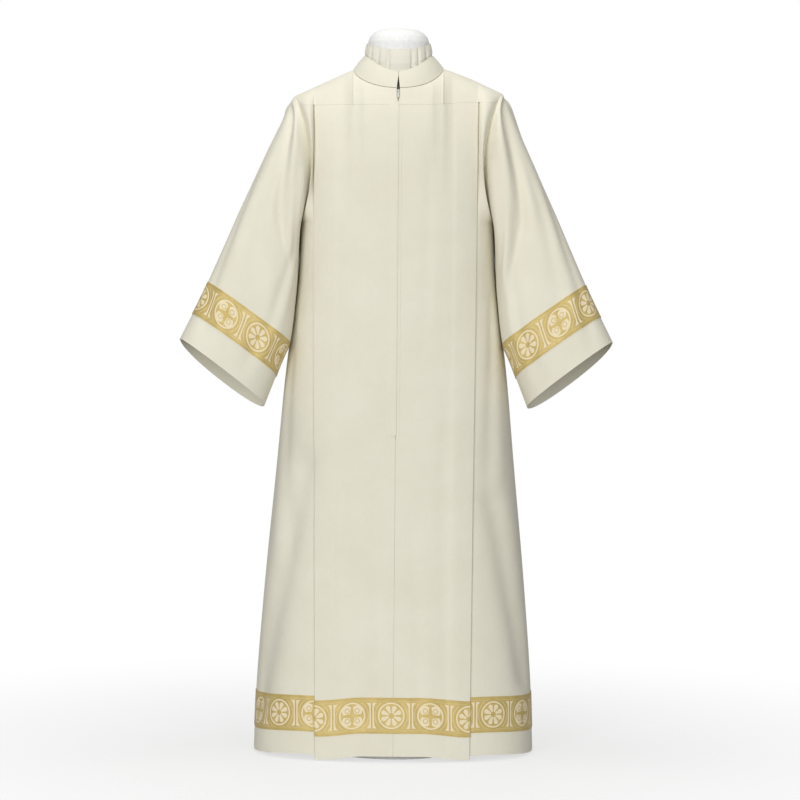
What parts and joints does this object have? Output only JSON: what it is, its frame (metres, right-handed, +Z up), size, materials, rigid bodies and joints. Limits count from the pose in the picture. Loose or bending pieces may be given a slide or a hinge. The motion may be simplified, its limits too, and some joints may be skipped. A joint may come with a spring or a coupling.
{
  "type": "clergy robe (alb) standing on a limbless dress form",
  "caption": "Cream alb with band collar, front zip, long pleats and wide sleeves, gold galloon at hem and cuffs, on a dress form.",
  "frame": {"origin": "middle of the underside of the form's round base plate, on the floor", "axes": "+Z up along the pole, -Y is the way the front faces, +X is the wearer's left"},
  "size_m": [0.916, 0.376, 1.543],
  "materials": {
    "cream_cloth": "matt, close weave",
    "gold_galloon": "woven gold and cream ornament with a soft sheen",
    "zip_tape": "matt",
    "zip_metal": "worn, satin",
    "form_cover": "matt",
    "form_white": "matt",
    "stand_paint": "satin"
  },
  "bodies": {
    "robe": {"back": "cream_cloth", "back_yoke": "cream_cloth", "collar": "cream_cloth", "cuff_band_left": "gold_galloon", "cuff_band_right": "gold_galloon", "form_neck_cover": "form_cover", "form_torso": "form_white", "front_left": "cream_cloth", "front_right": "cream_cloth", "front_yoke_left": "cream_cloth", "front_yoke_right": "cream_cloth", "hem_band_back": "gold_galloon", "hem_band_front": "gold_galloon", "hem_band_left": "gold_galloon", "hem_band_right": "gold_galloon", "sleeve_left": "cream_cloth", "sleeve_right": "cream_cloth", "stand_base": "stand_paint", "stand_pole": "stand_paint", "zip_lap": "cream_cloth", "zip_slider": "zip_metal", "zip_tape": "zip_tape"},
    "pull": {"zip_pull": "zip_metal"}
  },
  "joints": [
    {"name": "zip_pull_swing", "type": "hinge", "parent": "robe", "child": "pull", "pos_m": [0, -0.08938, 1.40682], "axis": [-1, 0, 0], "range_deg": [0, 150]}
  ]
}
